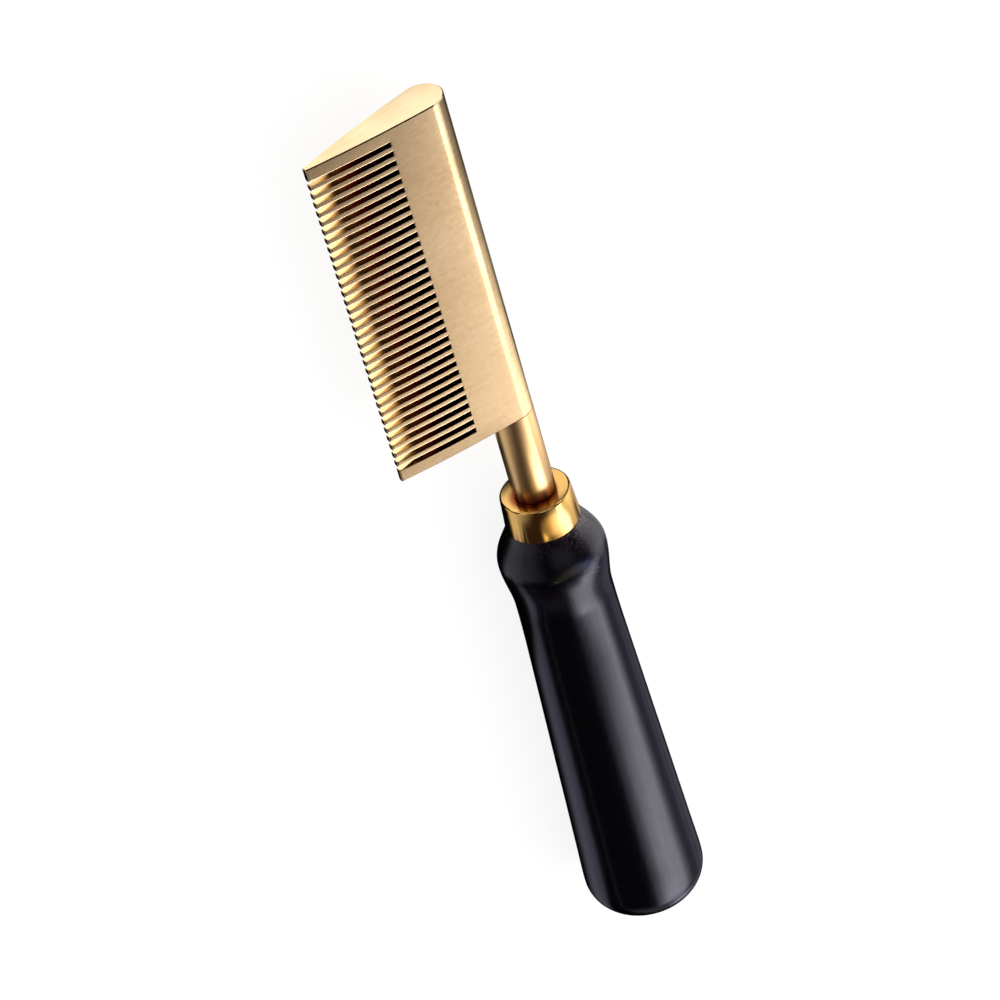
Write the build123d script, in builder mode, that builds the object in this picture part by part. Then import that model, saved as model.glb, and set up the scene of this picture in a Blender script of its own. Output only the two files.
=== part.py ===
from build123d import *

import os
from math import acos, atan2, degrees, pi, sqrt

# Pressing comb (hot comb): a solid brass comb head on a turned brass shank, and a lacquered wooden
# handle with a brass ferrule. A steel tang runs from the shank through the ferrule into the handle.
#
# Millimetres. The comb lies flat: its long axis is along X with the head at -X and the handle at +X,
# the teeth point to -Y, and +Z is up. The origin is the centre of the footprint, on the table.

# --- Comb head ---
head_length = 88.9
head_width = 36.9  # from the tooth edge to the outside of the spine
spine_diameter = 10.3  # the shank is turned to the same diameter, flush with the spine
tooth_edge_thickness = 1.45
flank_radius = 276.0  # crown of the two broad faces
tooth_edge_round = 0.25
head_end_chamfer = 0.2

slot_count = 34
slot_width = 1.25
slot_depth = 19.8
end_wall = 3.15  # solid brass left outside the first and the last slot

# --- Shank ---
shank_length = 24.8  # bare length between the head and the ferrule
shank_foot_round = 0.4
spigot_diameter = 6.0
spigot_length = 12.0
spigot_chamfer = 0.5

# --- Ferrule ---
ferrule_height = 8.9
ferrule_foot_diameter = 18.0
ferrule_taper = 1.1  # how much narrower the ferrule's top is than its foot
ferrule_wall = 0.9  # thickness of the skirt at its top
ferrule_cap_thickness = 1.5
ferrule_rim_round = 0.6

# --- Handle ---
handle_length = 125.5  # from the ferrule's foot to the domed end
bulb_diameter = 26.3
bulb_distance = 10.1  # this and the next two distances are from the ferrule's foot
waist_diameter = 23.7
waist_distance = 22.5
flare_start_diameter = 24.25
flare_start_distance = 36.7
handle_end_diameter = 30.06  # the widest ring of the grip
flare_end_narrowing = 0.86  # the straight flare stops this much narrower than the widest ring
flare_end_setback = 12.3  # and this far before it
end_corner_radius = 7.9
end_dome_radius = 20.15
shoulder_slope = 0.25  # rise over run of the wood where it leaves the ferrule
tenon_chamfer = 0.6

# --- Tang ---
tang_diameter = 5.0
tang_in_shank = 14.0
tang_in_handle = 60.0  # measured from the ferrule's cap
tang_chamfer = 0.5
tang_groove_count = 12
tang_groove_pitch = 3.5
tang_groove_radius = 0.5
tang_groove_depth = 0.3

# --- Clearances ---
spigot_clearance = 0.03  # radial, screwed and soldered joint of head and shank
tang_clearance = 0.03  # radial, tang in the shank and in the handle
cap_hole_clearance = 0.1  # radial, tang in the ferrule's cap
tenon_clearance = 0.05  # radial, handle's tenon in the ferrule
blind_end_clearance = 0.5  # axial, left at the end of a blind bore

# Radii and stations along the axis that follow from the sizes above.
spine_radius = spine_diameter / 2
spigot_radius = spigot_diameter / 2
tang_radius = tang_diameter / 2
ferrule_foot_radius = ferrule_foot_diameter / 2
ferrule_top_radius = ferrule_foot_radius - ferrule_taper / 2
ferrule_bore_radius = ferrule_top_radius - ferrule_wall
tenon_radius = ferrule_bore_radius - tenon_clearance
handle_end_radius = handle_end_diameter / 2
standing_radius = max(handle_end_diameter, bulb_diameter) / 2
tooth_reach = head_width - spine_radius  # from the axis to the tooth edge
slot_pitch = (head_length - 2 * end_wall - slot_width) / (slot_count - 1)

overall_length = head_length + shank_length + ferrule_height + handle_length
tip_x = -overall_length / 2
head_base_x = tip_x + head_length
ferrule_top_x = head_base_x + shank_length
ferrule_foot_x = ferrule_top_x + ferrule_height
tenon_end_x = ferrule_top_x + ferrule_cap_thickness + blind_end_clearance
handle_end_x = ferrule_foot_x + handle_length
tang_start_x = ferrule_top_x - tang_in_shank
tang_end_x = ferrule_top_x + ferrule_cap_thickness + tang_in_handle

# The axis of the spine, shank and handle. The handle's widest ring stands on the table.
axis_y = (tooth_reach - standing_radius) / 2
axis_z = standing_radius
comb_axis = Axis((0, axis_y, axis_z), (1, 0, 0))
lengthwise = Plane(origin=(0, axis_y, axis_z), x_dir=(1, 0, 0), z_dir=(0, -1, 0))


def across(x):
    """Section plane at station x: its own x is the part's +Y, its y is +Z and its normal is +X."""
    return Plane(origin=(x, axis_y, axis_z), x_dir=(0, 1, 0), z_dir=(1, 0, 0))


# --- Comb head: a teardrop bar, sawn into teeth ---
# The crown of each flank is an arc through the tooth edge's corner that runs smoothly into the
# spine. Its centre lies beyond the spine's centre, as seen from the point where the two meet.
tooth_corner = Vector(-tooth_reach, tooth_edge_thickness / 2)
centre_offset = flank_radius - spine_radius
corner_distance = tooth_corner.length
corner_angle = atan2(tooth_corner.Y, tooth_corner.X)
offset_angle = acos(
    (corner_distance**2 + centre_offset**2 - flank_radius**2) / (2 * corner_distance * centre_offset)
)
meeting_angle = degrees(corner_angle + offset_angle - pi)
upper_meeting = Vector(spine_radius, 0).rotate(Axis.Z, meeting_angle)
upper_direction = Vector(0, 1).rotate(Axis.Z, meeting_angle)

with BuildPart() as comb_head:
    with BuildSketch(across(tip_x)) as head_section:
        with BuildLine():
            upper_flank = TangentArc(upper_meeting, tooth_corner, tangent=upper_direction)
            lower_flank = mirror(upper_flank, about=Plane.XZ)
            Line(upper_flank @ 1, lower_flank @ 1)
            ThreePointArc(upper_flank @ 0, (spine_radius, 0), lower_flank @ 0)
        make_face()
        fillet(head_section.vertices().group_by(Axis.X)[0], radius=tooth_edge_round)
    extrude(amount=head_length)
    for end_face in (comb_head.faces().sort_by(Axis.X)[0], comb_head.faces().sort_by(Axis.X)[-1]):
        chamfer(end_face.edges(), length=head_end_chamfer)

    slot_overrun = tooth_edge_thickness  # how far the cut starts outside the tooth edge
    slot_middle_y = axis_y - tooth_reach + (slot_depth - slot_overrun) / 2
    with BuildSketch(Plane.XY.offset(axis_z)):
        with Locations((tip_x + head_length / 2, slot_middle_y)):
            with GridLocations(slot_pitch, slot_depth, slot_count, 1):
                Rectangle(slot_width, slot_depth + slot_overrun)
    extrude(amount=spine_radius, both=True, mode=Mode.SUBTRACT)

    with Locations(across(head_base_x).location):
        Hole(radius=spigot_radius + spigot_clearance, depth=spigot_length + blind_end_clearance)
comb_head.part.label = "comb_head"

# --- Shank: a turned rod with a spigot for the head and a bore for the tang ---
with BuildPart() as shank:
    with BuildSketch(across(head_base_x)):
        Circle(spine_radius)
    extrude(amount=shank_length)
    fillet(shank.faces().sort_by(Axis.X)[-1].edges(), radius=shank_foot_round)
    with BuildSketch(across(head_base_x)):
        Circle(spigot_radius)
    extrude(amount=-spigot_length)
    chamfer(shank.faces().sort_by(Axis.X)[0].edges(), length=spigot_chamfer)
    with Locations(across(ferrule_top_x).location):
        Hole(radius=tang_radius + tang_clearance, depth=tang_in_shank + blind_end_clearance)
shank.part.label = "shank"

# --- Ferrule: a turned cap, a little wider at its foot, with a rounded rim ---
cap_inside_x = ferrule_top_x + ferrule_cap_thickness
cap_hole_radius = tang_radius + cap_hole_clearance

with BuildPart() as ferrule:
    with BuildSketch(lengthwise) as ferrule_section:
        with BuildLine():
            Polyline(
                (ferrule_top_x, cap_hole_radius),
                (ferrule_top_x, ferrule_top_radius),
                (ferrule_foot_x, ferrule_foot_radius),
                (ferrule_foot_x, ferrule_bore_radius),
                (cap_inside_x, ferrule_bore_radius),
                (cap_inside_x, cap_hole_radius),
                close=True,
            )
        make_face()
        rim = ferrule_section.vertices().group_by(Axis.X)[0].sort_by(Axis.Y)[-1]
        fillet(rim, radius=ferrule_rim_round)
    revolve(axis=comb_axis)
ferrule.part.label = "ferrule"

# --- Handle: turned wood with a tenon, a bulb, a waist and a straight flare to a domed end ---
# The end's corner arc leaves the widest ring level, and runs smoothly into the dome.
corner_rise = handle_end_radius - end_corner_radius
corner_run = sqrt((end_dome_radius - end_corner_radius) ** 2 - corner_rise**2)
widest_x = handle_end_x - end_dome_radius + corner_run
dome_turn = degrees(atan2(corner_rise, corner_run))
flare_start_x = ferrule_foot_x + flare_start_distance
flare_start_radius = flare_start_diameter / 2
flare_end_x = widest_x - flare_end_setback
flare_end_radius = handle_end_radius - flare_end_narrowing / 2
flare_slope = (flare_end_radius - flare_start_radius) / (flare_end_x - flare_start_x)

with BuildPart() as handle:
    with BuildSketch(lengthwise):
        with BuildLine():
            Polyline(
                (tenon_end_x, 0),
                (tenon_end_x, tenon_radius - tenon_chamfer),
                (tenon_end_x + tenon_chamfer, tenon_radius),
                (ferrule_foot_x, tenon_radius),
                (ferrule_foot_x, ferrule_foot_radius),
            )
            grip = Spline(
                (ferrule_foot_x, ferrule_foot_radius),
                (ferrule_foot_x + bulb_distance, bulb_diameter / 2),
                (ferrule_foot_x + waist_distance, waist_diameter / 2),
                (flare_start_x, flare_start_radius),
                (flare_end_x, flare_end_radius),
                (widest_x, handle_end_radius),
                tangents=((1, shoulder_slope), (1, 0), (1, 0), (1, flare_slope), (1, flare_slope), (1, 0)),
            )
            corner = JernArc(grip @ 1, grip % 1, end_corner_radius, dome_turn - 90)
            dome = JernArc(corner @ 1, corner % 1, end_dome_radius, -dome_turn)
            Line(dome @ 1, (tenon_end_x, 0))
        make_face()
    revolve(axis=comb_axis)
    with BuildSketch(across(tenon_end_x)):
        Circle(tang_radius + tang_clearance)
    extrude(amount=tang_end_x + blind_end_clearance - tenon_end_x, mode=Mode.SUBTRACT)
handle.part.label = "handle"

# --- Tang: a steel stud, with ring grooves that hold the glue in the handle ---
groove_centre_radius = tang_radius - tang_groove_depth + tang_groove_radius
groove_middle_x = (tenon_end_x + tang_end_x) / 2

with BuildPart() as tang:
    with BuildSketch(across(tang_start_x)):
        Circle(tang_radius)
    extrude(amount=tang_end_x - tang_start_x)
    chamfer(tang.edges().filter_by(GeomType.CIRCLE), length=tang_chamfer)
    with BuildSketch(lengthwise):
        with Locations((groove_middle_x, groove_centre_radius)):
            with GridLocations(tang_groove_pitch, tang_radius, tang_groove_count, 1):
                Circle(tang_groove_radius)
    revolve(axis=comb_axis, mode=Mode.SUBTRACT)
tang.part.label = "tang"

os.makedirs("parts", exist_ok=True)
for piece in (comb_head, shank, ferrule, handle, tang):
    export_step(piece.part, f"parts/{piece.part.label}.step")
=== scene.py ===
from math import acos, atan2, cos, hypot, pi, radians, sin, sqrt, tan

import bmesh
import bpy
from mathutils import Matrix, Vector


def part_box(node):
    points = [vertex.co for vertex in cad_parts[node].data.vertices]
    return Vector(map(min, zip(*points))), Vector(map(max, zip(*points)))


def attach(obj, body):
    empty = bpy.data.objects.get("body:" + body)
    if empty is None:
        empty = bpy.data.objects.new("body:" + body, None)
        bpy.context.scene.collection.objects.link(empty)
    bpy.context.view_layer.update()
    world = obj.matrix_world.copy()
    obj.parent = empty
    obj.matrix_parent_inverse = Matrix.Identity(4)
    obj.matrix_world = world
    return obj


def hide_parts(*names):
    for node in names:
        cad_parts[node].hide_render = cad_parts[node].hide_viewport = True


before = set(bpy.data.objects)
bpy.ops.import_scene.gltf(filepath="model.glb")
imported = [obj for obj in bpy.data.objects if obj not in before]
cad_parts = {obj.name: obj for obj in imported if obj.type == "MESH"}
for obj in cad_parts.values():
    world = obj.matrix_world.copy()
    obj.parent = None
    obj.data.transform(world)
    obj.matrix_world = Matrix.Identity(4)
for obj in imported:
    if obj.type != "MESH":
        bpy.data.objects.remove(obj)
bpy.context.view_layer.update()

# Pressing comb: a brass comb head on a turned shank, and a black-lacquered handle with a brass ferrule.
# Everything is in metres, in the CAD's frame: the head is at -X, the teeth point to -Y, and +Z is up.
MM = 0.001

# ---------------------------------------------------------------- places, from the frame
head_low, head_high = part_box("comb_head")
shank_low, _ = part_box("shank")
ferrule_low, ferrule_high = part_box("ferrule")
_, handle_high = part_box("handle")

TIP_X, BASE_X = head_low.x, head_high.x  # the head's free end, and its end by the shank
SPIGOT_X = shank_low.x
CAP_X, FOOT_X = ferrule_low.x, ferrule_high.x  # the ferrule's flat top and its foot
END_X = handle_high.x
AXIS_Y = (ferrule_low.y + ferrule_high.y) / 2
AXIS_Z = (ferrule_low.z + ferrule_high.z) / 2

# ---------------------------------------------------------------- sizes
# They are the CAD's own, apart from the smallest rounds and chamfers.
SPINE_RADIUS = 5.15 * MM
TOOTH_REACH = 31.75 * MM  # from the axis to the tooth edge
TOOTH_EDGE_HALF = 0.725 * MM  # half the thickness of the tooth edge
TOOTH_EDGE_ROUND = 0.25 * MM
FLANK_RADIUS = 276 * MM
FLANK_TILT = 0.19  # radians, the flank's slope by the tooth edge
SLOT_COUNT = 34
SLOT_WIDTH = 1.25 * MM
SLOT_DEPTH = 19.8 * MM
END_WALL = 3.15 * MM
SPIGOT_BORE_RADIUS = 3.03 * MM
SPIGOT_BORE_DEPTH = 12.5 * MM
END_CHAMFER = 0.24 * MM
WORN_EDGE_ROUND = 0.22 * MM  # edges of the slot walls that face the handle
SLOT_EDGE_ROUND = 0.12 * MM  # all other sharp edges of the slots and teeth

SPIGOT_RADIUS = 3.0 * MM
SPIGOT_CHAMFER = 0.5 * MM
SHANK_FOOT_ROUND = 0.4 * MM
SHANK_BORE_DEPTH = 14.5 * MM
SHANK_BORE_ROUND = 0.1 * MM
TANG_BORE_RADIUS = 2.53 * MM  # in the shank and in the handle

CAP_HOLE_RADIUS = 2.6 * MM
CAP_THICKNESS = 1.5 * MM
FERRULE_TOP_RADIUS = 8.45 * MM
FERRULE_FOOT_RADIUS = 9.0 * MM
FERRULE_BORE_RADIUS = 7.55 * MM
FERRULE_RIM_ROUND = 0.6 * MM
FERRULE_FOOT_ROUND = 0.12 * MM
FERRULE_BORE_ROUND = 0.1 * MM

TENON_SETBACK = 2.0 * MM  # this and the next depth are from the ferrule's flat top
TANG_BORE_DEPTH = 62.0 * MM
TENON_RADIUS = 7.5 * MM
TENON_CHAMFER = 0.6 * MM
SHOULDER_SLOPE = 0.25  # rise over run of the wood where it leaves the ferrule
BULB = (10.1 * MM, 13.15 * MM)  # distance from the ferrule's foot and radius, as in the next two
WAIST = (22.5 * MM, 11.85 * MM)
FLARE_START = (36.7 * MM, 12.125 * MM)
FLARE_END_SETBACK = 12.3 * MM  # before the widest ring of the grip
FLARE_END_NARROWING = 0.43 * MM
HANDLE_END_RADIUS = 15.03 * MM
END_CORNER_RADIUS = 7.9 * MM
END_DOME_RADIUS = 20.15 * MM

SHARP = 0.0  # the rounding radius of a corner that stays sharp
TINY = 1e-7  # lengths below this count as none
BROKEN_FROM = radians(50)  # edges of the head that turn by more than this are broken


# ---------------------------------------------------------------- mesh helpers
def link(mesh, name, materials):
    """A new object in the scene with the mesh and its materials."""
    obj = bpy.data.objects.new(name, mesh)
    bpy.context.scene.collection.objects.link(obj)
    for m in materials:
        mesh.materials.append(m)
    return obj


def finished(bm, name):
    """Makes a mesh of a bmesh and frees the bmesh."""
    mesh = bpy.data.meshes.new(name)
    bm.to_mesh(mesh)
    bm.free()
    return mesh


def arc(centre, radius, start, end, steps):
    """Points on a circle from angle start to angle end, both included."""
    angles = [start + (end - start) * i / steps for i in range(steps + 1)]
    return [(centre[0] + radius * cos(angle), centre[1] + radius * sin(angle)) for angle in angles]


def rounded(corners, steps):
    """The (x, r) points of a closed outline, from corners (x, r, rounding radius or SHARP)."""
    places = [Vector((x, r)) for x, r, radius in corners]
    outline = []
    for i, (x, r, radius) in enumerate(corners):
        if radius == SHARP:
            outline.append((x, r))
            continue
        here = places[i]
        before = (places[i - 1] - here).normalized()
        after = (places[(i + 1) % len(places)] - here).normalized()
        half = before.angle(after) / 2
        centre = here + (before + after).normalized() * (radius / sin(half))
        first = here + before * (radius / tan(half)) - centre
        last = here + after * (radius / tan(half)) - centre
        sweep = first.angle_signed(last)
        for k in range(steps + 1):
            outline.append(tuple(centre + Matrix.Rotation(-sweep * k / steps, 2) @ first))
    return outline


def lathe(outline, name, finish, segments=200, smooth_angle=30):
    """Turns a closed outline of (x, r) round the comb's axis. Edges stay sharp above smooth_angle."""
    bm = bmesh.new()
    turns = [2 * pi * k / segments for k in range(segments)]
    rings = []
    for x, r in outline:
        if r < TINY:
            rings.append([bm.verts.new((x, AXIS_Y, AXIS_Z))])
        else:
            places = [(x, AXIS_Y + r * sin(turn), AXIS_Z + r * cos(turn)) for turn in turns]
            rings.append([bm.verts.new(place) for place in places])
    for ring, other in zip(rings, rings[1:] + rings[:1]):
        if len(ring) == 1 and len(other) == 1:
            continue
        for k in range(segments):
            j = (k + 1) % segments
            if len(ring) == 1:
                bm.faces.new((ring[0], other[k], other[j]))
            elif len(other) == 1:
                bm.faces.new((ring[k], other[0], ring[j]))
            else:
                bm.faces.new((ring[k], other[k], other[j], ring[j]))
    bmesh.ops.recalc_face_normals(bm, faces=bm.faces)
    for f in bm.faces:
        f.smooth = True
    mesh = finished(bm, name)
    mesh.set_sharp_from_angle(angle=radians(smooth_angle))
    return link(mesh, name, [finish])


# ---------------------------------------------------------------- node helpers
def feed(nt, target, inputs):
    """Gives a node's inputs, by name or place, a plain value or a link from another node's output."""
    for key, value in inputs.items():
        socket = target.inputs[key]
        if isinstance(value, bpy.types.NodeSocket):
            nt.links.new(value, socket)
        elif socket.type == "RGBA":
            socket.default_value = (*value, 1)
        else:
            socket.default_value = value


def node(nt, kind, inputs, **settings):
    """A new node with the given settings and inputs."""
    n = nt.nodes.new(kind)
    for key, value in settings.items():
        setattr(n, key, value)
    feed(nt, n, inputs)
    return n


def maths(nt, operation, *values):
    return node(nt, "ShaderNodeMath", dict(enumerate(values)), operation=operation).outputs[0]


def product(nt, first, *others):
    for value in others:
        first = maths(nt, "MULTIPLY", first, value)
    return first


def total(nt, first, *others):
    for value in others:
        first = maths(nt, "ADD", first, value)
    return first


def split_xyz(nt, coordinates="Object"):
    """The X, Y and Z of a texture coordinate. Object coordinates are in metres, in the CAD's frame."""
    coords = node(nt, "ShaderNodeTexCoord", {})
    return node(nt, "ShaderNodeSeparateXYZ", {0: coords.outputs[coordinates]}).outputs


def noise(nt, scale, detail=2.0, rough=0.5, offset=(0, 0, 0)):
    """Noise with the given scales along X, Y and Z, per metre. It varies round 0.5."""
    coords = node(nt, "ShaderNodeTexCoord", {})
    mapping = node(
        nt, "ShaderNodeMapping", {"Vector": coords.outputs["Object"], "Scale": scale, "Location": offset}
    )
    inputs = {"Vector": mapping.outputs["Vector"], "Scale": 1.0, "Detail": detail, "Roughness": rough}
    return node(nt, "ShaderNodeTexNoise", inputs).outputs["Fac"]


def ramp(nt, value, stops):
    """A colour that runs through (position, colour) stops as the value goes from 0 to 1."""
    r = node(nt, "ShaderNodeValToRGB", {"Fac": value})
    while len(r.color_ramp.elements) < len(stops):
        r.color_ramp.elements.new(0.5)
    for element, (position, colour) in zip(r.color_ramp.elements, stops):
        element.position = position
        element.color = (*colour, 1)
    return r.outputs["Color"]


def levels(nt, value, stops):
    """The same for plain numbers: stops are (position, level)."""
    return ramp(nt, value, [(position, (level, level, level)) for position, level in stops])


def spread(nt, value, low, high, from_low=0.3, from_high=0.7):
    """Maps from_low to low and from_high to high. The default range is that of a noise."""
    inputs = {"Value": value, "From Min": from_low, "From Max": from_high, "To Min": low, "To Max": high}
    return node(nt, "ShaderNodeMapRange", inputs).outputs["Result"]


def step(nt, value, edge, soft):
    """0 below edge and 1 above it, with a smooth change of width 2 * soft."""
    inputs = {"Value": value, "From Min": edge - soft, "From Max": edge + soft}
    return node(nt, "ShaderNodeMapRange", inputs, interpolation_type="SMOOTHSTEP").outputs["Result"]


def below(nt, value, edge, soft):
    return maths(nt, "SUBTRACT", 1.0, step(nt, value, edge, soft))


def between(nt, value, low, high, soft):
    return maths(nt, "SUBTRACT", step(nt, value, low, soft), step(nt, value, high, soft))


MIX_FACTOR, MIX_A, MIX_B, MIX_RESULT = 0, 6, 7, 2  # places of a Mix node's sockets for colours


def blend(nt, factor, a, b, blend_type="MIX"):
    """Colour a where factor is 0 and colour b where it is 1. Either one can be an output."""
    inputs = {MIX_FACTOR: factor, MIX_A: a, MIX_B: b}
    mix = node(nt, "ShaderNodeMix", inputs, data_type="RGBA", blend_type=blend_type)
    return mix.outputs[MIX_RESULT]


def bump(nt, bsdf, *layers):
    """Chains bump nodes. Each layer is (height, distance in metres)."""
    normal = {}
    for height, distance in layers:
        inputs = {"Height": height, "Distance": distance, "Strength": 1.0}
        b = node(nt, "ShaderNodeBump", inputs | normal)
        normal = {"Normal": b.outputs["Normal"]}
    feed(nt, bsdf, normal)


def material(name):
    m = bpy.data.materials.new(name)
    m.use_nodes = True
    return m, m.node_tree, m.node_tree.nodes["Principled BSDF"]


# ---------------------------------------------------------------- brass
def brass(name, light, dark, roughness, lines, line_depth, coat=0.0, shade_paint=None, grain=0.0):
    """Brass with tone variation and fine tool marks.

    roughness is (where the tone is light, where it is dark). lines is the scale of the marks along
    X, Y and Z. The argument after coat is painted shade: a dark colour, and a function that gives its
    share. grain is the share of mottling.
    """
    m, nt, bsdf = material(name)
    tone = noise(nt, (60, 60, 60), 3.0)
    marks = noise(nt, lines, 2.0, 0.6)
    mixed = total(nt, product(nt, tone, 0.6 - grain / 2), product(nt, marks, 0.4 - grain / 2))
    if grain:
        mottling = noise(nt, (900, 650, 650), 3.0, 0.7, (5, 2, 8))
        mixed = total(nt, mixed, product(nt, mottling, grain))
    colour = ramp(nt, mixed, [(0.35, dark), (0.65, light)])
    # Painted shade: the brass turns towards a dark colour where the given function says.
    if shade_paint:
        shade_colour, share = shade_paint
        colour = blend(nt, share(nt), colour, shade_colour)
    feed(
        nt,
        bsdf,
        {
            "Base Color": colour,
            "Metallic": 1.0,
            "Roughness": spread(nt, mixed, roughness[1], roughness[0]),
            "Specular Tint": (1.0, 0.88, 0.66),
            "Coat Weight": coat,
            "Coat Roughness": roughness[0],
        },
    )
    bump(nt, bsdf, (marks, line_depth))
    return m


# Brass painted darker: painted shade in the slots and on the shank's foot, and a painted reflection of the
# shank on the ferrule's flat top.
SLOT_SHADE_Y = (-21.5 * MM, -11.2 * MM)  # none at the first, and full from the second to the roots
FOOT_SHADE_LENGTH = 5.0 * MM
CAP_REFLECTION_Y = AXIS_Y - 1.1 * MM  # the middle of the painted reflection on the ferrule's flat top
CAP_REFLECTION_Z = AXIS_Z + 0.9 * MM
CAP_REFLECTION_RADII = (5.0 * MM, 6.4 * MM)  # full up to the first, and gone at the second
CAP_REFLECTION_DEPTH = 0.5 * MM
FULL_SHADE = 0.2 * MM  # on the shank and the ferrule it is full this close to the ferrule's flat top


def slot_painted_shade(nt):
    """Painted shade in the slots, darker towards their roots."""
    return spread(nt, split_xyz(nt)["Y"], 0.0, 1.0, *SLOT_SHADE_Y)


def foot_painted_shade(nt):
    """Painted shade on the shank where it meets the ferrule."""
    return spread(nt, split_xyz(nt)["X"], 0.0, 1.0, CAP_X - FOOT_SHADE_LENGTH, CAP_X - FULL_SHADE)


def cap_painted_reflection(nt):
    """A dark crescent on the ferrule's flat top, on one side of the shank's foot: a painted reflection of
    the shank's shaded foot.
    """
    x, y, z = split_xyz(nt)
    away_y = maths(nt, "SUBTRACT", y, CAP_REFLECTION_Y)
    away_z = maths(nt, "SUBTRACT", z, CAP_REFLECTION_Z)
    away = maths(nt, "SQRT", total(nt, product(nt, away_y, away_y), product(nt, away_z, away_z)))
    crescent = spread(nt, away, 1.0, 0.0, *CAP_REFLECTION_RADII)
    return product(nt, crescent, spread(nt, x, 1.0, 0.0, CAP_X + FULL_SHADE, CAP_X + CAP_REFLECTION_DEPTH))


head_satin = brass(
    "head_satin_brass",
    light=(1.0, 0.73, 0.42),
    dark=(0.75, 0.51, 0.265),
    roughness=(0.17, 0.25),
    lines=(1300, 60, 60),
    line_depth=0.8e-6,
    coat=0.3,
    grain=0.4,
)
head_ground = brass(
    "head_ground_brass",
    light=(0.98, 0.78, 0.47),
    dark=(0.90, 0.63, 0.33),
    roughness=(0.28, 0.37),
    lines=(60, 70, 1500),
    line_depth=3e-6,
    coat=0.5,
)
# Slot walls and roots: a darker copy of the head's brass, which is painted shade in the slots.
slot_wall_shaded = brass(
    "slot_wall_shaded_brass",
    light=(0.60, 0.45, 0.23),
    dark=(0.54, 0.39, 0.19),
    roughness=(0.08, 0.12),
    lines=(500, 60, 1800),
    line_depth=1e-6,
    shade_paint=((0.24, 0.036, 0.012), slot_painted_shade),
)
head_edge = brass(
    "head_edge_brass",
    light=(0.96, 0.74, 0.48),
    dark=(0.92, 0.66, 0.40),
    roughness=(0.10, 0.14),
    lines=(300, 300, 300),
    line_depth=1e-6,
)
shank_turned = brass(
    "shank_turned_brass",
    light=(0.93, 0.59, 0.265),
    dark=(0.89, 0.545, 0.235),
    roughness=(0.28, 0.31),
    lines=(1200, 40, 40),
    line_depth=0.8e-6,
    coat=0.5,
    shade_paint=((0.30, 0.11, 0.025), foot_painted_shade),
)
ferrule_gilt = brass(
    "ferrule_polished_brass",
    light=(0.97, 0.59, 0.195),
    dark=(0.91, 0.52, 0.155),
    roughness=(0.13, 0.17),
    lines=(900, 60, 60),
    line_depth=1e-6,
    coat=0.2,
    shade_paint=((0.30, 0.07, 0.015), cap_painted_reflection),
)

# ---------------------------------------------------------------- lacquer and steel
SCUFF = (FOOT_X + 10.4 * MM, AXIS_Y + 3.1 * MM, AXIS_Z + 12.8 * MM)  # a spot on the bulb's crest
SCUFF_RADII = (0.5 * MM, 2.6 * MM)  # full up to the first, and gone at the second
THIN_LENGTH = 6.5 * MM  # from the ferrule's foot to where the lacquer is whole
GRAINY_X = (FOOT_X + 7 * MM, FOOT_X + 17 * MM)  # full up to the first, and gone at the second


def lacquer():
    """Black lacquer over turned wood: pores along the grain show as small pits.

    By the ferrule it is grainy and thin, so that brown wood shows in specks, most of all on the side
    of +Y. It is scuffed in one spot on the bulb: its scratches are wear, and their paler colour is
    partly a painted glint.
    """
    m, nt, bsdf = material("handle_black_lacquer")
    fine = noise(nt, (1500, 1700, 1700), 2.0, 0.7)
    pores = noise(nt, (420, 1500, 1500), 2.0, 0.6, (3, 1, 7))
    swell = noise(nt, (60, 140, 140), 2.0, 0.5, (9, 4, 2))
    scratches = noise(nt, (1700, 4600, 2600), 2.0, 0.6, (4, 1, 9))

    x, y, z = split_xyz(nt)
    by_ferrule = spread(nt, x, 1.0, 0.0, FOOT_X - 0.5 * MM, FOOT_X + THIN_LENGTH)
    by_side = spread(nt, y, 0.25, 1.0, AXIS_Y - 3 * MM, AXIS_Y + 4 * MM)
    bare = product(nt, by_ferrule, by_side)
    thin = product(nt, bare, spread(nt, fine, 0.0, 1.0, 0.50, 0.60))
    grainy = spread(nt, x, 1.0, 0.0, *GRAINY_X)

    place = node(nt, "ShaderNodeTexCoord", {}).outputs["Object"]
    apart = node(nt, "ShaderNodeVectorMath", {0: place, 1: SCUFF}, operation="DISTANCE")
    scuffed = spread(nt, apart.outputs["Value"], 1.0, 0.0, *SCUFF_RADII)
    # Scratches that are wear; the paler colour they get below is also a painted glint.
    scuff_wear_and_glint = product(nt, scuffed, spread(nt, scratches, 0.0, 0.75, 0.50, 0.64))

    black, brown, wood = (0.0003, 0.0003, 0.0012), (0.02, 0.010, 0.008), (0.26, 0.14, 0.10)
    colour = ramp(nt, thin, [(0.0, black), (0.3, brown), (1.0, wood)])
    feed(
        nt,
        bsdf,
        {
            "Base Color": blend(nt, scuff_wear_and_glint, colour, (0.26, 0.25, 0.29)),
            "Roughness": total(nt, spread(nt, pores, 0.20, 0.265), product(nt, bare, 0.12)),
            "Specular IOR Level": 0.42,
            "Specular Tint": (0.78, 0.76, 1.0),
            "Coat Weight": 0.25,
            "Coat Roughness": 0.14,
            "Coat Tint": (0.92, 0.90, 1.0),
        },
    )
    bump(
        nt,
        bsdf,
        (swell, 5e-5),
        (pores, 1.5e-5),
        (product(nt, fine, grainy), 0.8e-4),
        (product(nt, scratches, scuffed), 1.1e-4),
    )
    return m


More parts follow.
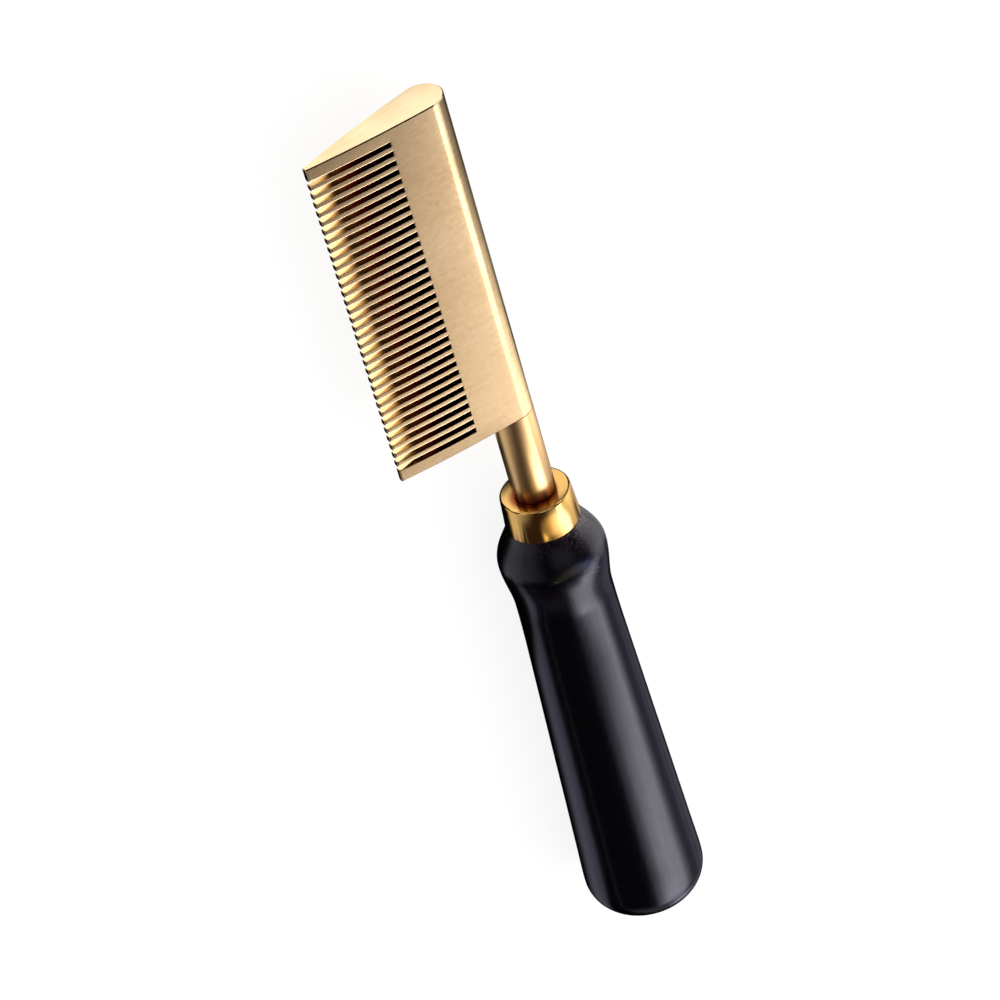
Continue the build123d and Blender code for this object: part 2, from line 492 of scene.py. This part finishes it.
def steel():
    """Turned steel for the tang, which is out of sight."""
    m, nt, bsdf = material("tang_turned_steel")
    rings = noise(nt, (2500, 30, 30), 2.0)
    colour = ramp(nt, rings, [(0.3, (0.42, 0.42, 0.43)), (0.7, (0.56, 0.56, 0.56))])
    feed(nt, bsdf, {"Base Color": colour, "Metallic": 1.0, "Roughness": spread(nt, rings, 0.3, 0.42)})
    bump(nt, bsdf, (rings, 5e-6))
    return m


handle_lacquer = lacquer()
tang_steel = steel()

# ---------------------------------------------------------------- comb head
# The third material is the darker brass that paints shade in the slots.
HEAD_MATERIALS = [head_satin, head_ground, slot_wall_shaded, head_edge]
SATIN, GROUND, SAWN_SHADED, EDGE = range(4)  # places in that list


def head_outline():
    """Upper half of the head's section, from the middle of the tooth edge to the spine's outside.

    Its points are (y, z) from the axis. The second value is the index of the slots' root in them.
    """
    reach = hypot(TOOTH_REACH, TOOTH_EDGE_HALF)
    offset = FLANK_RADIUS - SPINE_RADIUS
    turn = acos((reach**2 + offset**2 - FLANK_RADIUS**2) / (2 * reach * offset))
    meeting = atan2(TOOTH_EDGE_HALF, -TOOTH_REACH) + turn - pi
    centre_y, centre_z = -offset * cos(meeting), -offset * sin(meeting)

    def flank(y):
        return centre_z + sqrt(FLANK_RADIUS**2 - (y - centre_y) ** 2)

    def along_flank(start, end, steps):
        return [(y, flank(y)) for y in (start + (end - start) * i / steps for i in range(steps))]

    root_y = SLOT_DEPTH - TOOTH_REACH
    corner_y = TOOTH_EDGE_ROUND - TOOTH_REACH
    corner = (corner_y, flank(corner_y) - TOOTH_EDGE_ROUND)
    points = [(-TOOTH_REACH, 0.0), (-TOOTH_REACH, TOOTH_EDGE_HALF - TOOTH_EDGE_ROUND)]
    points += arc(corner, TOOTH_EDGE_ROUND, pi, pi / 2 + FLANK_TILT, 4)[1:]
    points += along_flank(2 * TOOTH_EDGE_ROUND - TOOTH_REACH, root_y, 12)
    root = len(points)
    points += along_flank(root_y, SPINE_RADIUS * cos(meeting), 10)
    points += arc((0, 0), SPINE_RADIUS, meeting, 0.0, 20)
    return points, root


def head_prism():
    """The sawn bar as a bmesh, with sharp edges. Its rows of points lie at the ends and slot walls."""
    outline, root = head_outline()
    last = len(outline) - 1
    pitch = (BASE_X - TIP_X - 2 * END_WALL - SLOT_WIDTH) / (SLOT_COUNT - 1)
    stations = [TIP_X]
    for k in range(SLOT_COUNT):
        start = TIP_X + END_WALL + k * pitch
        stations += [start, start + SLOT_WIDTH]
    stations.append(BASE_X)

    bm = bmesh.new()
    rows = []
    for x in stations:
        upper = [bm.verts.new((x, AXIS_Y + y, AXIS_Z + z)) for y, z in outline]
        lower = [bm.verts.new((x, AXIS_Y + y, AXIS_Z - z)) for y, z in outline[1:-1]]
        rows.append((upper, [upper[0], *lower, upper[last]]))

    def quad(a, b, c, d, slot):
        """A face with four corners, or three where two of them are the same point."""
        face = bm.faces.new(list(dict.fromkeys((a, b, c, d))))
        face.material_index = slot

    def wall(row, end, slot):
        upper, lower = row
        for j in range(end):
            quad(upper[j], upper[j + 1], lower[j + 1], lower[j], slot)

    for i, ((u0, l0), (u1, l1)) in enumerate(zip(rows, rows[1:])):
        is_slot = i % 2 == 1
        for j in range(root if is_slot else 0, last):
            quad(u0[j], u1[j], u1[j + 1], u0[j + 1], SATIN)
            quad(l0[j], l1[j], l1[j + 1], l0[j + 1], SATIN)
        if is_slot:
            quad(u0[root], u1[root], l1[root], l0[root], SAWN_SHADED)
    wall(rows[0], last, GROUND)
    wall(rows[-1], last, GROUND)
    for row in rows[1:-1]:
        wall(row, root, SAWN_SHADED)
    bmesh.ops.recalc_face_normals(bm, faces=bm.faces)
    return bm


def break_edges(bm, chosen, width, segments):
    """Bevels those sharp edges for which chosen(edge) is true."""
    edges = [e for e in bm.edges if e.is_convex and e.calc_face_angle(0) > BROKEN_FROM and chosen(e)]
    bmesh.ops.bevel(
        bm,
        geom=edges,
        offset=width,
        offset_type="OFFSET",
        segments=segments,
        profile=0.5,
        affect="EDGES",
        clamp_overlap=False,
        material=EDGE,
    )


def at_end(e):
    return any(all(abs(v.co.x - x) < TINY for v in e.verts) for x in (TIP_X, BASE_X))


def faces_handle(e):
    return any(f.normal.x > 0.9 for f in e.link_faces)


def bore_for_spigot(head):
    """Bores the head, weights its normals and keeps the result as its mesh."""
    bm = bmesh.new()
    bmesh.ops.create_cone(
        bm,
        cap_ends=True,
        segments=64,
        radius1=SPIGOT_BORE_RADIUS,
        radius2=SPIGOT_BORE_RADIUS,
        depth=2 * SPIGOT_BORE_DEPTH,
        matrix=Matrix.Translation((BASE_X, AXIS_Y, AXIS_Z)) @ Matrix.Rotation(pi / 2, 4, "Y"),
    )
    drill_mesh = finished(bm, "drill_mesh")
    drill = link(drill_mesh, "drill", [slot_wall_shaded])
    cut = head.modifiers.new("spigot_bore", "BOOLEAN")
    cut.operation = "DIFFERENCE"
    cut.solver = "EXACT"
    cut.object = drill
    weigh = head.modifiers.new("normals", "WEIGHTED_NORMAL")
    weigh.keep_sharp = True
    bpy.context.view_layer.update()
    bored = bpy.data.meshes.new_from_object(head.evaluated_get(bpy.context.evaluated_depsgraph_get()))
    head.modifiers.clear()
    head.data = bored
    bored.name = "head_body_mesh"
    bpy.data.objects.remove(drill)
    bpy.data.meshes.remove(drill_mesh)


def build_head():
    bm = head_prism()
    break_edges(bm, at_end, END_CHAMFER, 1)
    break_edges(bm, lambda e: faces_handle(e) and not at_end(e), WORN_EDGE_ROUND, 3)
    break_edges(bm, lambda e: not at_end(e), SLOT_EDGE_ROUND, 3)
    for f in bm.faces:
        f.smooth = True
    mesh = finished(bm, "comb_head_mesh")
    mesh.set_sharp_from_angle(angle=radians(28))
    head = link(mesh, "head_body", HEAD_MATERIALS)
    bore_for_spigot(head)
    return head


head = build_head()
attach(head, "root")
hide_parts("comb_head")

# ---------------------------------------------------------------- shank
shank_outline = rounded(
    [
        (SPIGOT_X, 0.0, SHARP),
        (SPIGOT_X, SPIGOT_RADIUS - SPIGOT_CHAMFER, SHARP),
        (SPIGOT_X + SPIGOT_CHAMFER, SPIGOT_RADIUS, SHARP),
        (BASE_X, SPIGOT_RADIUS, SHARP),
        (BASE_X, SPINE_RADIUS, SHARP),
        (CAP_X, SPINE_RADIUS, SHANK_FOOT_ROUND),
        (CAP_X, TANG_BORE_RADIUS, SHANK_BORE_ROUND),
        (CAP_X - SHANK_BORE_DEPTH, TANG_BORE_RADIUS, SHARP),
        (CAP_X - SHANK_BORE_DEPTH, 0.0, SHARP),
    ],
    steps=5,
)
shank = lathe(shank_outline, "shank_rod", shank_turned, segments=160)
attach(shank, "root")
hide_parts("shank")

# ---------------------------------------------------------------- ferrule
ferrule_outline = rounded(
    [
        (CAP_X, CAP_HOLE_RADIUS, SHARP),
        (CAP_X, FERRULE_TOP_RADIUS, FERRULE_RIM_ROUND),
        (FOOT_X, FERRULE_FOOT_RADIUS, FERRULE_FOOT_ROUND),
        (FOOT_X, FERRULE_BORE_RADIUS, FERRULE_BORE_ROUND),
        (CAP_X + CAP_THICKNESS, FERRULE_BORE_RADIUS, SHARP),
        (CAP_X + CAP_THICKNESS, CAP_HOLE_RADIUS, SHARP),
    ],
    steps=8,
)
ferrule = lathe(ferrule_outline, "ferrule_cap", ferrule_gilt)
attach(ferrule, "root")
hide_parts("ferrule")


# ---------------------------------------------------------------- handle
def hermite(points, slopes, steps):
    """A smooth curve through (x, r) points with the given slopes."""
    curve = []
    for a, b, slope_a, slope_b in zip(points, points[1:], slopes, slopes[1:]):
        a, b = Vector(a), Vector(b)
        chord = (b - a).length
        leave, arrive = (Vector((1, slope)).normalized() * chord for slope in (slope_a, slope_b))
        for i in range(steps):
            t = i / steps
            ends = a * (2 * t**3 - 3 * t**2 + 1) + leave * (t**3 - 2 * t**2 + t)
            curve.append(tuple(ends + b * (3 * t**2 - 2 * t**3) + arrive * (t**3 - t**2)))
    curve.append(points[-1])
    return curve


def handle_outline():
    """The handle's half section, from the bore's end over the tenon and the grip to the domed end."""
    rise = HANDLE_END_RADIUS - END_CORNER_RADIUS
    run = sqrt((END_DOME_RADIUS - END_CORNER_RADIUS) ** 2 - rise**2)
    widest_x = END_X - END_DOME_RADIUS + run
    rings = (BULB, WAIST, FLARE_START)
    bulb, waist, flare_start = [(FOOT_X + distance, radius) for distance, radius in rings]
    flare_end = (widest_x - FLARE_END_SETBACK, HANDLE_END_RADIUS - FLARE_END_NARROWING)
    flare_slope = (flare_end[1] - flare_start[1]) / (flare_end[0] - flare_start[0])

    tenon_x = CAP_X + TENON_SETBACK
    inside = [
        (CAP_X + TANG_BORE_DEPTH, 0.0),
        (CAP_X + TANG_BORE_DEPTH, TANG_BORE_RADIUS),
        (tenon_x, TANG_BORE_RADIUS),
        (tenon_x, TENON_RADIUS - TENON_CHAMFER),
        (tenon_x + TENON_CHAMFER, TENON_RADIUS),
        (FOOT_X, TENON_RADIUS),
    ]
    grip = hermite(
        [(FOOT_X, FERRULE_FOOT_RADIUS), bulb, waist, flare_start, flare_end, (widest_x, HANDLE_END_RADIUS)],
        [SHOULDER_SLOPE, 0.0, 0.0, flare_slope, flare_slope, 0.0],
        18,
    )
    turn = atan2(rise, run)
    corner = arc((widest_x, rise), END_CORNER_RADIUS, pi / 2, turn, 16)[1:]
    dome = arc((END_X - END_DOME_RADIUS, 0.0), END_DOME_RADIUS, turn, 0.0, 24)[1:]
    return inside + grip + corner + dome


handle = lathe(handle_outline(), "handle_grip", handle_lacquer, smooth_angle=40)
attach(handle, "root")
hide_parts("handle")

# ---------------------------------------------------------------- tang, with the CAD's own mesh
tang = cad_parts["tang"]
tang.data.materials.clear()
tang.data.materials.append(tang_steel)

# ---------------------------------------------------------------- floor and world
# The camera sees white paper and a white room. Reflections see another floor and another room, so
# that brass and lacquer show the lights and darks of the photograph.
WHITE = (1.0, 1.0, 1.0)
FLOOR_HALF = 3.0

# Lit cards on the floor, as reflections see it: low and high X, low and high Y, softness, level.
FLOOR_CARDS = [
    # In front of the ferrule, the bulb, the waist and the grip.
    (-0.019, 0.019, -0.056, -0.014, 0.004, 0.66),
    (0.019, 0.032, -0.056, -0.027, 0.003, 0.66),
    (0.034, 0.048, -0.056, -0.024, 0.004, 0.24),
    (0.048, 0.150, -0.048, -0.013, 0.006, 0.46),
    # Beyond the head's free end.
    (-0.190, -0.1308, -0.050, 0.050, 0.0015, 1.25),
    # Under the head and the shank.
    (-0.1308, -0.030, -0.0178, -0.0121, 0.0012, 2.40),
    (-0.1308, -0.030, -0.0085, 0.0030, 0.0030, 1.00),
    (-0.034, -0.019, 0.000, 0.030, 0.003, 1.10),
    # Behind the head and the handle.
    (-0.130, -0.075, 0.018, 0.060, 0.006, 0.05),
    (-0.075, -0.036, 0.018, 0.060, 0.006, 0.15),
    (-0.015, 0.038, 0.032, 0.068, 0.006, 0.50),
    (-0.060, 0.500, 0.090, 0.250, 0.020, 0.12),
    (0.068, 0.500, 0.056, 0.110, 0.010, 0.22),
]


def cleared_tree(owner):
    """The node tree of a material or world, with nothing in it."""
    owner.use_nodes = True
    owner.node_tree.nodes.clear()
    return owner.node_tree


def emission(nt, strength, colour):
    return node(nt, "ShaderNodeEmission", {"Strength": strength, "Color": colour}).outputs[0]


def mixed_shader(nt, factor, a, b):
    return node(nt, "ShaderNodeMixShader", {0: factor, 1: a, 2: b}).outputs[0]


def ray_kinds(nt):
    """Two shares, 0 or 1: for rays from the camera or through glass, and for reflected rays."""
    path = node(nt, "ShaderNodeLightPath", {}).outputs
    return maths(nt, "MAXIMUM", path["Is Camera Ray"], path["Is Transmission Ray"]), path["Is Glossy Ray"]


def build_floor():
    m = bpy.data.materials.new("floor_paper")
    nt = cleared_tree(m)
    m.cycles.emission_sampling = "NONE"
    from_camera, by_reflection = ray_kinds(nt)

    x, y, z = split_xyz(nt)
    cards = [
        product(nt, between(nt, x, x0, x1, soft), between(nt, y, y0, y1, soft), level)
        for x0, x1, y0, y1, soft, level in FLOOR_CARDS
    ]
    # Between the cards the floor is black, as a painted shadow where it lies under the comb, and it is grey
    # outside the comb's surroundings.
    near = product(nt, between(nt, x, -0.17, 0.9, 0.03), between(nt, y, -0.6, 0.25, 0.03))
    far = product(nt, maths(nt, "SUBTRACT", 1.0, near), 0.45)
    bluish_by_grip = blend(nt, step(nt, x, 0.048, 0.008), WHITE, (0.90, 0.89, 1.12))
    reflected = emission(nt, total(nt, *cards, far), bluish_by_grip)

    # Other rays meet plain paper. The camera sees a paper that is nearly white by itself, so that
    # the comb's shadow on it is faint.
    paper = node(nt, "ShaderNodeBsdfDiffuse", {"Color": (0.8, 0.8, 0.8)}).outputs[0]
    pale = node(nt, "ShaderNodeBsdfDiffuse", {"Color": (0.22, 0.22, 0.22)}).outputs[0]
    seen = node(nt, "ShaderNodeAddShader", {0: pale, 1: emission(nt, 0.86, WHITE)}).outputs[0]
    unseen = mixed_shader(nt, by_reflection, paper, reflected)
    node(nt, "ShaderNodeOutputMaterial", {"Surface": mixed_shader(nt, from_camera, unseen, seen)})

    bm = bmesh.new()
    bmesh.ops.create_grid(bm, x_segments=1, y_segments=1, size=FLOOR_HALF)
    floor = link(finished(bm, "floor_mesh"), "floor", [m])


def build_world():
    """To the camera a white room. Reflections see it as grey, with a dark ceiling and dark flags.

    x, y and z are a direction's. Each part of the room is a product of its edges and its level.
    """
    world = bpy.data.worlds.new("studio")
    bpy.context.scene.world = world
    nt = cleared_tree(world)
    from_camera, by_reflection = ray_kinds(nt)
    x, y, z = split_xyz(nt, "Generated")

    low = below(nt, z, 0.42, 0.14)
    flag = product(nt, step(nt, x, 0.38, 0.12), below(nt, y, 0.25, 0.2))
    slit = product(nt, below(nt, x, -0.5, 0.15), between(nt, y, -0.3, 0.39, 0.04), 0.8)
    lit = maths(nt, "SUBTRACT", 1.0, maths(nt, "MAXIMUM", flag, slit))
    dimmer_to_handle = spread(nt, x, 0.85, 0.17, 0.05, 0.25)
    dimmer_to_front = spread(nt, y, 0.2, 1.0, -0.7, -0.3)
    walls = product(nt, low, lit, dimmer_to_handle, dimmer_to_front)
    above_walls = maths(nt, "SUBTRACT", below(nt, z, 0.72, 0.05), low)
    high = product(nt, below(nt, x, -0.25, 0.1), step(nt, y, 0.395, 0.045), above_walls, 0.85)
    door = product(nt, step(nt, x, 0.88, 0.07), step(nt, y, 0.2, 0.1), low, 1.8)
    rear = product(nt, step(nt, x, 0.86, 0.05), below(nt, y, 0.15, 0.1), low, 0.25)
    grey = total(nt, walls, high, door, rear)

    # Towards +X, where the lacquer reflects the room, it is bluish. A warm glimmer is everywhere.
    cool = step(nt, x, 0.3, 0.1)
    channels = [
        product(nt, grey, maths(nt, "ADD", 1.0, product(nt, cool, gain))) for gain in (-0.06, -0.09, 0.15)
    ]
    tinted = node(nt, "ShaderNodeCombineColor", dict(enumerate(channels))).outputs[0]
    reflected = blend(nt, 1.0, tinted, (0.015, 0.005, 0.0025), blend_type="ADD")

    unseen = blend(nt, by_reflection, (0.75, 0.75, 0.75), reflected)
    back = node(nt, "ShaderNodeBackground", {"Color": blend(nt, from_camera, unseen, WHITE)})
    node(nt, "ShaderNodeOutputWorld", {"Surface": back.outputs[0]})


build_floor()
build_world()


# ---------------------------------------------------------------- softbox and cards
# Each card has a function that gives its light and its cover at a place: its level, its colour, and
# how much of what is behind it the card hides.
def hanging_corners(x0, x1, y0, y1, z):
    return [(x0, y0, z), (x0, y1, z), (x1, y1, z), (x1, y0, z)]


def upright_corners(x0, x1, y, height):
    """Corners of a card that stands just off the floor."""
    bottom = 0.5 * MM
    return [(x0, y, bottom), (x1, y, bottom), (x1, y, height), (x0, y, height)]


def panel(name, corners, card_light):
    """An emissive sheet that metal and lacquer reflect and the camera doesn't see."""
    m = bpy.data.materials.new(name + "_cloth")
    nt = cleared_tree(m)
    level, colour, cover = card_light(nt, *split_xyz(nt))
    clear = node(nt, "ShaderNodeBsdfTransparent", {}).outputs[0]
    cloth = mixed_shader(nt, cover, clear, emission(nt, level, colour))
    node(nt, "ShaderNodeOutputMaterial", {"Surface": cloth})

    bm = bmesh.new()
    bm.faces.new([bm.verts.new(corner) for corner in corners])
    sheet = link(finished(bm, name + "_mesh"), name, [m])
    sheet.visible_camera = False
    return sheet


def station(nt, x, y, axis_y, height, run):
    """The place along X where a round part of the comb reflects the point (x, y) of a card.

    axis_y is the round part's place, and height is the card's height above it. run is how far along
    X a reflected ray travels on its way to the part of the card that is straight above.
    """
    slope = product(nt, maths(nt, "SUBTRACT", y, axis_y), 1 / height)
    reach = maths(nt, "SQRT", maths(nt, "ADD", 1.0, product(nt, slope, slope)))
    return maths(nt, "SUBTRACT", x, product(nt, reach, run))


def softbox(nt, x, y, z):
    """The large panel. Along X it is dim for the head and bright for the handle."""
    along = [
        (0.25, 0.03),
        (0.29, 0.10),
        (0.315, 0.195),
        (0.34, 0.20),
        (0.365, 0.19),
        (0.425, 0.165),
        (0.45, 0.155),
        (0.48, 0.15),
        (0.515, 0.22),
        (0.56, 0.55),
        (0.60, 0.92),
        (0.75, 0.88),
        (1.0, 0.6),
    ]
    # Its front edge lies further towards +Y for the waist, and further towards -Y for the grip.
    waist_shift = product(nt, between(nt, x, 0.463, 0.495, 0.007), -0.12)
    grip_shift = product(nt, step(nt, x, 0.505, 0.015), 0.13)
    front_edge = spread(nt, total(nt, y, waist_shift, grip_shift), 0.0, 1.0, -0.12, 0.17)
    corner = product(nt, step(nt, x, 0.68, 0.06), step(nt, y, 0.65, 0.2), 0.5)
    back_edge = product(nt, spread(nt, y, 1.0, 0.0, 0.60, 1.40), maths(nt, "SUBTRACT", 1.0, corner))
    wide = product(nt, levels(nt, x, along), front_edge, back_edge, 4.0)

    # Four brighter stretches lie on top of that. The one for the spine's tip is bent, so that the
    # round spine reflects it with straight ends.
    strip = product(nt, between(nt, x, 0.31, 0.405, 0.03), between(nt, y, 0.23, 0.55, 0.04), 2.8)
    reflected_x = station(nt, x, y, axis_y=0.008, height=0.58, run=0.462)
    tip_x = between(nt, reflected_x, -0.150, -0.112, 0.010)
    tip = product(nt, tip_x, between(nt, y, 0.31, 0.72, 0.06), 2.4)
    bright = product(nt, between(nt, x, 0.50, 0.60, 0.03), between(nt, y, 0.25, 0.75, 0.05), 0.4)
    grip = product(nt, between(nt, x, 0.50, 0.75, 0.012), between(nt, y, -0.02, 0.30, 0.07), 1.35)
    return total(nt, wide, strip, tip, bright, grip), (1.0, 0.97, 0.99), 1.0


def left_card(nt, x, y, z):
    """Stands in front of the ferrule and the bulb, and ends in a slanting edge."""
    end = spread(nt, z, 0.039, 0.024, 0.006, 0.016)
    inside = product(nt, step(nt, x, -0.012, 0.004), step(nt, maths(nt, "SUBTRACT", end, x), 0.0, 0.004))
    cover = product(nt, inside, spread(nt, z, 1.0, 0.0, 0.0, 0.088))
    return product(nt, cover, spread(nt, x, 0.72, 0.45, 0.014, 0.028)), WHITE, cover


def right_card(nt, x, y, z):
    """Stands behind the comb, from the head to the start of the grip, and is lower by the head."""
    along = [
        (0.0, 0.13),
        (0.25, 0.25),
        (0.375, 0.41),
        (0.50, 0.64),
        (0.625, 0.90),
        (0.72, 1.28),
        (0.745, 1.05),
        (0.79, 0.85),
        (0.85, 0.52),
        (0.95, 0.45),
    ]
    lowered = maths(nt, "SUBTRACT", z, product(nt, step(nt, x, -0.010, 0.010), 0.020))
    end = maths(nt, "SUBTRACT", spread(nt, z, 0.036, 0.050, 0.020, 0.030), x)
    inside = product(nt, step(nt, x, -0.095, 0.006), step(nt, end, 0.0, 0.005))
    cover = product(nt, inside, spread(nt, lowered, 1.0, 0.0, 0.044, 0.070))
    level = levels(nt, spread(nt, x, 0.0, 1.0, -0.10, 0.06), along)
    return product(nt, cover, level, spread(nt, z, 0.62, 1.0, 0.012, 0.034), 1.5), WHITE, cover


def side_card(nt, x, y, z):
    """A band in front of the teeth and the shank."""
    cover = product(nt, between(nt, x, -0.116, -0.012, 0.004), between(nt, z, 0.014, 0.035, 0.002))
    return product(nt, cover, 0.7), WHITE, cover


def top_card(nt, x, y, z):
    """Hangs over the head and lights it in views from above."""
    cover = product(nt, between(nt, x, -0.160, -0.040, 0.006), between(nt, y, -0.105, 0.060, 0.015))
    return product(nt, cover, 0.75), WHITE, cover


GAUZE_LOW_Y, GAUZE_HIGH_Y = -0.025, 0.060


def gauze(nt, x, y, z):
    """A sheer card over the ferrule, bent so that the ferrule reflects it as a ring.

    Its levels run along Y. It is warm where it is dim and cool where it is bright. Beside it are two
    smoked stretches, which darken what the shank and the bulb reflect.
    """
    around = [
        (0.074, 0.0),
        (0.175, 0.15),
        (0.252, 0.32),
        (0.319, 0.62),
        (0.381, 0.85),
        (0.446, 1.05),
        (0.521, 1.15),
        (0.619, 1.2),
        (0.779, 1.0),
        (0.918, 0.5),
        (1.0, 0.0),
    ]
    taper_shift = 3.5 * MM  # the ferrule's taper turns its reflections this far
    shifted_x = maths(nt, "ADD", x, taper_shift)
    reflected_x = station(nt, shifted_x, y, axis_y=0.0070, height=0.0217, run=0.0173)
    level = levels(nt, spread(nt, y, 0.0, 1.0, GAUZE_LOW_Y, GAUZE_HIGH_Y), around)
    ring = product(nt, level, between(nt, reflected_x, -0.0102, -0.0008, 0.0010), 55.0)
    colour = blend(nt, step(nt, y, 0.010, 0.010), (1.1, 0.97, 0.6), (0.87, 1.0, 1.45))

    shank_x = between(nt, reflected_x, -0.0255, -0.0130, 0.002)
    over_shank = product(nt, shank_x, between(nt, y, -0.011, 0.0150, 0.004), 0.6)
    bulb_x = between(nt, x, 0.0175, 0.032, 0.003)
    over_bulb = product(nt, bulb_x, between(nt, y, -0.013, 0.0120, 0.005), 0.85)
    return ring, colour, total(nt, over_shank, over_bulb, 0.02)


panel("softbox", hanging_corners(0.25, 1.3, -0.27, 1.4, 0.6), softbox)
for name, corners, card_light in (
    ("left_card", upright_corners(-0.022, 0.042, -0.05, 0.09), left_card),
    ("right_card", upright_corners(-0.105, 0.060, 0.07, 0.10), right_card),
    ("side_card", upright_corners(-0.122, -0.006, -0.05, 0.06), side_card),
    ("top_card", hanging_corners(-0.170, -0.030, -0.125, 0.080, 0.2), top_card),
    ("gauze", hanging_corners(-0.012, 0.045, GAUZE_LOW_Y, GAUZE_HIGH_Y, 0.045), gauze),
):
    # Only reflections see these cards: they light nothing and cast no shadow.
    card = panel(name, corners, card_light)
    card.data.materials[0].cycles.emission_sampling = "NONE"
    card.visible_diffuse = False
    card.visible_shadow = False

# ---------------------------------------------------------------- camera, fitted to the photograph
CAMERA_PLACE = Vector((-0.68585, -0.36834, 0.76344))
CAMERA_RIGHT = Vector((0.22200, 0.78151, 0.58307)).normalized()
CAMERA_UP = Vector((-0.74614, 0.52111, -0.41439)).normalized()

camera_data = bpy.data.cameras.new("camera")
camera_data.lens = 167.12
camera_data.sensor_width = 36
camera_data.clip_start = 0.01
camera = bpy.data.objects.new("camera", camera_data)
bpy.context.scene.collection.objects.link(camera)
turned = Matrix((CAMERA_RIGHT, CAMERA_UP, CAMERA_RIGHT.cross(CAMERA_UP))).transposed().to_4x4()
camera.matrix_world = Matrix.Translation(CAMERA_PLACE) @ turned
bpy.context.scene.camera = camera
bpy.context.scene.view_settings.view_transform = "Standard"
